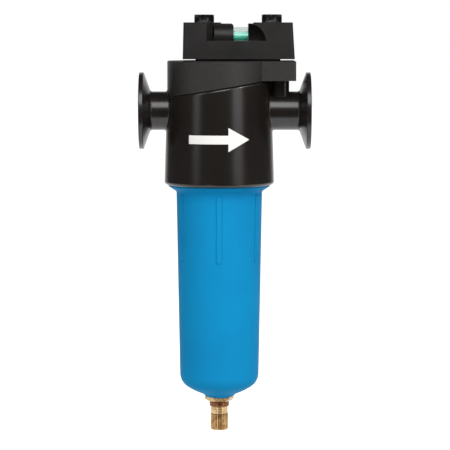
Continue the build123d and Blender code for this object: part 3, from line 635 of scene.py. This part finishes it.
relief = add_node(powder, "Bump", {"Strength": 0.1, "Distance": 0.0001}, {
    "Height": peel.outputs["Fac"],
    "Normal": soft_edge.outputs["Normal"],
})
coat = add_node(powder, "BsdfPrincipled", {"Roughness": 0.5, "Specular IOR Level": 0.02}, {
    "Base Color": tone.outputs["Color"],
    "Normal": relief.outputs["Normal"],
})
add_node(powder, "OutputMaterial", {}, {"Surface": coat.outputs["BSDF"]})
dress(["bowl"], powder)


# Drain body, locknut and indicator plug: turned from brass bar, left bare and slightly tarnished.
# The tool's feed marks run round them and spread the light. They are drawn wider apart than the
# real ones, which would be too fine to see.
FEED_SCALE = 200.0
brass = start_finish("turned_brass")
place = add_node(brass, "TexCoord", {}, {})
turn = add_node(brass, "Mapping", {}, {"Vector": place.outputs["Object"]})
tarnish = add_node(brass, "TexNoise", {"Scale": 260.0, "Detail": 4.0}, {"Vector": turn.outputs["Vector"]})
tone = add_node(brass, "ValToRGB", {}, {"Fac": tarnish.outputs["Fac"]})
tone.color_ramp.elements[0].position = 0.3
tone.color_ramp.elements[0].color = linear_colour("#a58659")
tone.color_ramp.elements[1].position = 0.7
tone.color_ramp.elements[1].color = linear_colour("#cbb085")
feed_marks = add_node(
    brass,
    "TexWave",
    {"Scale": FEED_SCALE, "Distortion": 0.3, "bands_direction": "Z"},
    {"Vector": turn.outputs["Vector"]},
)
soft_edge = add_node(brass, "Bevel", {"Radius": 0.0002, "samples": 4}, {})
relief = add_node(brass, "Bump", {"Strength": 0.12, "Distance": 0.0001}, {
    "Height": feed_marks.outputs["Fac"],
    "Normal": soft_edge.outputs["Normal"],
})
gloss = add_node(brass, "MapRange", {"To Min": 0.2, "To Max": 0.34}, {"Value": tarnish.outputs["Fac"]})
metal = add_node(brass, "BsdfPrincipled", {"Metallic": 1.0}, {
    "Base Color": tone.outputs["Color"],
    "Roughness": gloss.outputs["Result"],
    "Normal": relief.outputs["Normal"],
})
add_node(brass, "OutputMaterial", {}, {"Surface": metal.outputs["BSDF"]})
dress(["indicator_plug", "drain_body", "drain_locknut"], brass)


# Ring under the locknut: a turned copper-coloured ring, darker and browner than the brass.
# It has oxidised evenly, with a brighter band where the light strikes its rounded edge.
copper = start_finish("oxidised_copper_ring")
place = add_node(copper, "TexCoord", {}, {})
turn = add_node(copper, "Mapping", {}, {"Vector": place.outputs["Object"]})
oxide = add_node(copper, "TexNoise", {"Scale": 350.0, "Detail": 4.0}, {"Vector": turn.outputs["Vector"]})
tone = add_node(copper, "ValToRGB", {}, {"Fac": oxide.outputs["Fac"]})
tone.color_ramp.elements[0].color = linear_colour("#5a3a25")
tone.color_ramp.elements[1].color = linear_colour("#80573b")
metal = add_node(copper, "BsdfPrincipled", {"Metallic": 1.0, "Roughness": 0.24}, {
    "Base Color": tone.outputs["Color"],
})
add_node(copper, "OutputMaterial", {}, {"Surface": metal.outputs["BSDF"]})
dress(["drain_ring"], copper)


# Drain float: blow-moulded white polypropylene, matt and faintly see-through.
# It rides inside the cage and is hidden while the bowl is closed.
polypropylene = start_finish("white_moulded_polypropylene")
place = add_node(polypropylene, "TexCoord", {}, {})
turn = add_node(polypropylene, "Mapping", {}, {"Vector": place.outputs["Object"]})
haze = add_node(polypropylene, "TexNoise", {"Scale": 400.0}, {"Vector": turn.outputs["Vector"]})
tone = add_node(polypropylene, "ValToRGB", {}, {"Fac": haze.outputs["Fac"]})
tone.color_ramp.elements[0].color = linear_colour("#d9d7cf")
tone.color_ramp.elements[1].color = linear_colour("#e6e4dc")
skin = add_node(polypropylene, "BsdfPrincipled", {"Roughness": 0.45}, {
    "Base Color": tone.outputs["Color"],
})
add_node(polypropylene, "OutputMaterial", {}, {"Surface": skin.outputs["BSDF"]})
dress(["drain_float"], polypropylene)


# Drain knob: turned brass with a straight knurl, held on the spindle and turned by hand.
# Its tone is lighter and darker in random patches, as handling leaves it.
KNOB_TEETH = 30
POINTS_PER_TOOTH = 4
TOOTH_DEPTH = 0.07
KNOB_EDGE = 0.0007
KNOB_COLLAR = 0.0004
KNOB_BORE = 0.0025
SPINDLE_HOLE = 0.0033
SPINDLE_HOLE_DEPTH = 0.006

knurled_brass = start_finish("knurled_brass")
place = add_node(knurled_brass, "TexCoord", {}, {})
turn = add_node(knurled_brass, "Mapping", {}, {"Vector": place.outputs["Object"]})
handling = add_node(knurled_brass, "TexNoise", {"Scale": 300.0, "Detail": 4.0}, {
    "Vector": turn.outputs["Vector"],
})
tone = add_node(knurled_brass, "ValToRGB", {}, {"Fac": handling.outputs["Fac"]})
tone.color_ramp.elements[0].position = 0.3
tone.color_ramp.elements[0].color = linear_colour("#8f7048")
tone.color_ramp.elements[1].position = 0.7
tone.color_ramp.elements[1].color = linear_colour("#bb9a6e")
metal = add_node(knurled_brass, "BsdfPrincipled", {"Metallic": 1.0, "Roughness": 0.26}, {
    "Base Color": tone.outputs["Color"],
})
add_node(knurled_brass, "OutputMaterial", {}, {"Surface": metal.outputs["BSDF"]})

low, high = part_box("drain_knob")
centre = ((low[0] + high[0]) / 2, (low[1] + high[1]) / 2, low[2])
radius = (high[0] - low[0]) / 2
points = POINTS_PER_TOOTH * KNOB_TEETH
deselect_all()
bpy.ops.mesh.primitive_circle_add(
    vertices=points,
    radius=KNOB_BORE,
    fill_type="NGON",
    location=(centre[0], centre[1], high[2] - SPINDLE_HOLE_DEPTH),
)
knob = bpy.context.object
bpy.ops.object.transform_apply(location=True, rotation=True, scale=True)
pick(knob, lambda f: True, "FACE")
lift(low[2] - (high[2] - SPINDLE_HOLE_DEPTH))
widen((radius - KNOB_EDGE) / KNOB_BORE, centre)
lift(KNOB_EDGE)
shrink(radius / (radius - KNOB_EDGE), centre)
lift(high[2] - low[2] - KNOB_EDGE - KNOB_COLLAR)
lift(KNOB_COLLAR / 2)
lift(KNOB_COLLAR / 2)
shrink((radius - KNOB_COLLAR / 2) / radius, centre)
widen(SPINDLE_HOLE / (radius - KNOB_COLLAR / 2), centre)
lift(-SPINDLE_HOLE_DEPTH)
shrink(KNOB_BORE / SPINDLE_HOLE, centre)
bpy.ops.mesh.delete(type="ONLY_FACE")
bpy.ops.mesh.select_all(action="SELECT")
bpy.ops.mesh.remove_doubles(threshold=SAME_PLACE)
bpy.ops.object.mode_set(mode="OBJECT")


def in_groove(vertex):
    """True for the bottoms of the straight knurl's grooves."""
    reach = math.hypot(vertex.co.x - centre[0], vertex.co.y - centre[1])
    angle = math.atan2(vertex.co.y - centre[1], vertex.co.x - centre[0])
    column = round(angle / (2 * math.pi) * points)
    below_collar = vertex.co.z < high[2] - KNOB_COLLAR + SAME_PLACE
    return reach > radius - 5 * SAME_PLACE and below_collar and column % POINTS_PER_TOOTH == 0


pick(knob, in_groove)
shrink(1 - TOOTH_DEPTH, centre)
bpy.ops.mesh.select_all(action="SELECT")
bpy.ops.mesh.normals_make_consistent(inside=False)
bpy.ops.object.mode_set(mode="OBJECT")
bpy.ops.object.shade_smooth_by_angle(angle=SHARP_ANGLE)
settle(knob, "knurled_drain_knob", knurled_brass)
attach(knob, "knob")
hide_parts("drain_knob")


# Studio: a white floor under the hanging filter and a room that is white behind it, unlit in front.
# A small key makes the bright line on the head's shoulder and soft boxes fill both sides. Two tall
# strips draw the upright bands on the enamel, and two short ones low down light the brass.
FLOOR_DROP = 0.07
FLOOR_WIDTH = 3.0
FLOOR_LENGTH = 8.0
FLOOR_FRONT = 0.35
SIDE_LIGHT = 0.34
UNLIT_FRONT = 0.05
floor_white = start_finish("white_studio_floor")
place = add_node(floor_white, "TexCoord", {}, {})
turn = add_node(floor_white, "Mapping", {}, {"Vector": place.outputs["Object"]})
scuffs = add_node(floor_white, "TexNoise", {"Scale": 40.0}, {"Vector": turn.outputs["Vector"]})
tone = add_node(floor_white, "ValToRGB", {}, {"Fac": scuffs.outputs["Fac"]})
tone.color_ramp.elements[0].color = linear_colour("#f0f0f0")
tone.color_ramp.elements[1].color = linear_colour("#f6f6f6")
matt = add_node(floor_white, "BsdfDiffuse", {}, {"Color": tone.outputs["Color"]})
bright = add_node(floor_white, "Emission", {"Color": linear_colour("#ffffff"), "Strength": 0.85}, {})
both = add_node(floor_white, "AddShader", {}, {})
floor_white.node_tree.links.new(matt.outputs["BSDF"], both.inputs[0])
floor_white.node_tree.links.new(bright.outputs["Emission"], both.inputs[1])
ray = add_node(floor_white, "LightPath", {}, {})
mirrored = add_node(floor_white, "Math", {"operation": "MAXIMUM"}, {})
floor_white.node_tree.links.new(ray.outputs["Is Glossy Ray"], mirrored.inputs[0])
floor_white.node_tree.links.new(ray.outputs["Is Transmission Ray"], mirrored.inputs[1])
seen = add_node(floor_white, "Math", {"operation": "MAXIMUM"}, {})
floor_white.node_tree.links.new(ray.outputs["Is Camera Ray"], seen.inputs[0])
floor_white.node_tree.links.new(mirrored.outputs["Value"], seen.inputs[1])
mixed = add_node(floor_white, "MixShader", {}, {"Fac": seen.outputs["Value"]})
floor_white.node_tree.links.new(matt.outputs["BSDF"], mixed.inputs[1])
floor_white.node_tree.links.new(both.outputs["Shader"], mixed.inputs[2])
add_node(floor_white, "OutputMaterial", {}, {"Surface": mixed.outputs["Shader"]})

deselect_all()
bpy.ops.mesh.primitive_plane_add(
    size=1.0,
    location=(axis_x, FLOOR_LENGTH / 2 - FLOOR_FRONT, cad_low[2] - FLOOR_DROP),
)
floor = bpy.context.object
floor.scale = (FLOOR_WIDTH, FLOOR_LENGTH, 1)
settle(floor, "floor", floor_white)

room = bpy.data.worlds.new("white_room")
bpy.context.scene.world = room
room.use_nodes = True
room.node_tree.nodes.clear()
ray = add_node(room, "LightPath", {}, {})
through = add_node(room, "Math", {"operation": "MAXIMUM"}, {})
room.node_tree.links.new(ray.outputs["Is Camera Ray"], through.inputs[0])
room.node_tree.links.new(ray.outputs["Is Transmission Ray"], through.inputs[1])
view = add_node(room, "TexCoord", {}, {})
sides = add_node(room, "SeparateXYZ", {}, {"Vector": view.outputs["Generated"]})
backdrop = add_node(
    room,
    "MapRange",
    {"From Min": 0.75, "From Max": 0.95, "To Min": UNLIT_FRONT, "To Max": 1.0},
    {"Value": sides.outputs["Y"]},
)
lit = add_node(room, "Mix", {"A": SIDE_LIGHT}, {
    "Factor": ray.outputs["Is Glossy Ray"],
    "B": backdrop.outputs["Result"],
})
level = add_node(room, "Mix", {"B": 1.0}, {
    "Factor": through.outputs["Value"],
    "A": lit.outputs["Result"],
})
walls = add_node(room, "Background", {"Color": linear_colour("#ffffff")}, {
    "Strength": level.outputs["Result"],
})
add_node(room, "OutputWorld", {}, {"Surface": walls.outputs["Background"]})

middle_z = (cad_low[2] + cad_high[2]) / 2
for lamp_name, place_at, width, height, power in (
    ("small_key", (0.74, -0.61, 0.97), 0.18, 0.18, 3.2),
    ("soft_box_right", (0.84, -0.50, 0.75), 0.90, 0.25, 1.4),
    ("soft_box_left", (-0.70, -0.65, 0.75), 0.40, 0.25, 1.2),
    ("soft_box_front", (0.0, -0.74, 0.64), 0.50, 0.50, 4.5),
    ("strip_right", (0.80, -0.95, 0.42), 0.50, 0.80, 3.3),
    ("strip_left", (-0.92, -0.80, 0.42), 0.32, 0.80, 1.4),
    ("strip_low_left", (-0.31, -0.64, -0.22), 0.08, 0.16, 0.2),
    ("strip_low_right", (0.50, -0.50, -0.22), 0.08, 0.16, 0.25),
):
    bpy.ops.object.light_add(
        type="AREA",
        location=(axis_x + place_at[0], place_at[1], middle_z + place_at[2]),
    )
    lamp = bpy.context.object
    lamp.name = lamp_name
    lamp.data.shape = "RECTANGLE"
    lamp.data.size = width
    lamp.data.size_y = height
    lamp.data.energy = power
    aim = lamp.location.copy()
    aim.x -= axis_x
    aim.z -= middle_z
    lamp.rotation_euler = aim.to_track_quat("Z", "Y").to_euler()


# Camera: a long lens a little above the ports, looking slightly down at the middle of the filter.
PHOTO_SIDE = 450
MM_PER_PIXEL = 0.662
FILM_WIDTH = 36.0
CAMERA_AWAY = 1.4
CAMERA_ABOVE = 0.055
CENTRE_PIXEL_X = 219.3
PORT_PIXEL_Y = 110.8
aim_x = axis_x + (PHOTO_SIDE / 2 - CENTRE_PIXEL_X) * MM_PER_PIXEL / 1000
aim_z = -(PHOTO_SIDE / 2 - PORT_PIXEL_Y) * MM_PER_PIXEL / 1000
bpy.ops.object.camera_add(location=(aim_x, -CAMERA_AWAY, CAMERA_ABOVE))
camera = bpy.context.object
sight = camera.location.copy()
sight.x -= aim_x
sight.z -= aim_z
camera.rotation_euler = sight.to_track_quat("Z", "Y").to_euler()
camera.data.sensor_width = FILM_WIDTH
camera.data.lens = FILM_WIDTH * sight.length / (PHOTO_SIDE * MM_PER_PIXEL / 1000)
camera.data.clip_end = 50.0
bpy.context.scene.camera = camera
bpy.context.scene.view_settings.view_transform = "Standard"
